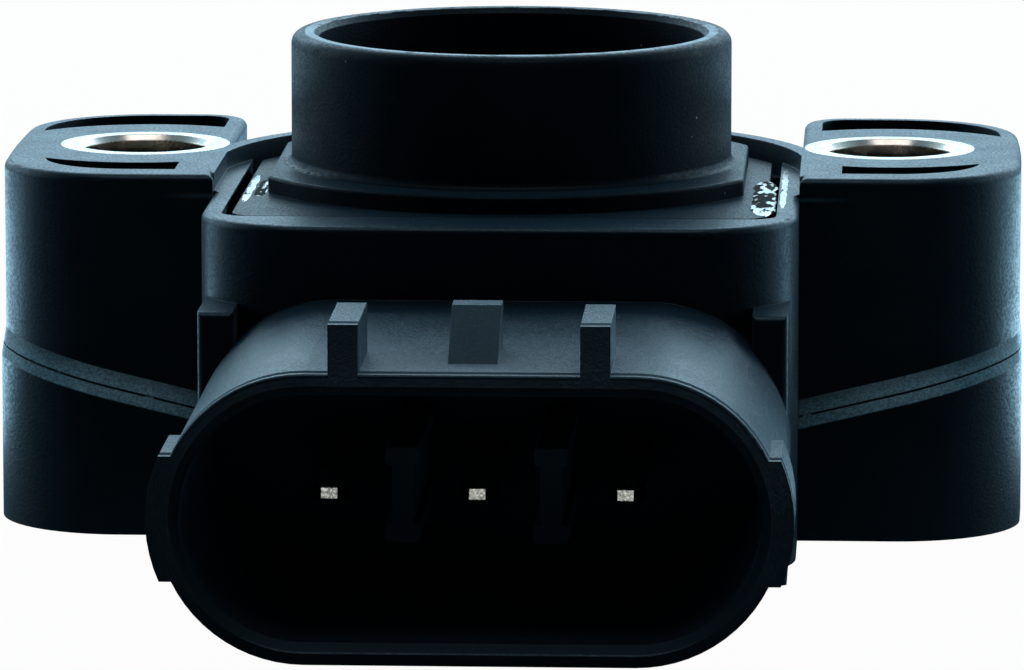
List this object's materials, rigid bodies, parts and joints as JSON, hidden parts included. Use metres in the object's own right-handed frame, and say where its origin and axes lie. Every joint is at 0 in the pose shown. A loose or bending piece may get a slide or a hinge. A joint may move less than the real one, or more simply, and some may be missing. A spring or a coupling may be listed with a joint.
{
  "type": "throttle position sensor",
  "caption": "Rotary throttle position sensor: black moulded body with bolt ears, round pilot collar, sprung rotor with drive slot and an open connector socket.",
  "frame": {"origin": "on the rotor axis, in the mounting face that the pilot collar stands on", "axes": "+Z along the rotor axis out of the collar, -Y out of the connector socket, X across the bolt holes"},
  "size_m": [0.0448, 0.0505, 0.0213],
  "materials": {
    "housing_plastic": "matte, glass-filled",
    "cover_plastic": "satin, glass-filled",
    "sealant": "glossy",
    "sleeve_steel": "zinc plated",
    "terminal_metal": "tin plated",
    "solder": "bright",
    "ceramic": "matte ceramic",
    "carbon_ink": "matte",
    "silver_ink": "satin",
    "rotor_plastic": "satin",
    "washer_plastic": "satin",
    "spring_steel": "bright drawn wire",
    "contact_metal": "bright"
  },
  "bodies": {
    "sensor_body": {"housing": "housing_plastic", "collar_cover": "cover_plastic", "sealant": "sealant", "bushing_left": "sleeve_steel", "bushing_right": "sleeve_steel", "terminal_left": "terminal_metal", "terminal_middle": "terminal_metal", "terminal_right": "terminal_metal", "solder_left": "solder", "solder_middle": "solder", "solder_right": "solder", "track_board": "ceramic", "resistor_track": "carbon_ink", "collector_track": "silver_ink", "thrust_washer": "washer_plastic", "return_spring": "spring_steel"},
    "rotor": {"rotor": "rotor_plastic", "wiper": "contact_metal"}
  },
  "joints": [
    {"name": "rotor_turn", "type": "hinge", "parent": "sensor_body", "child": "rotor", "pos_m": [0, 0, 0], "axis": [0, 0, 1], "range_deg": [0, 100], "stiffness_Nm_per_rad": 0.001, "springref_deg": -17.19, "deforming": ["return_spring"]}
  ]
}
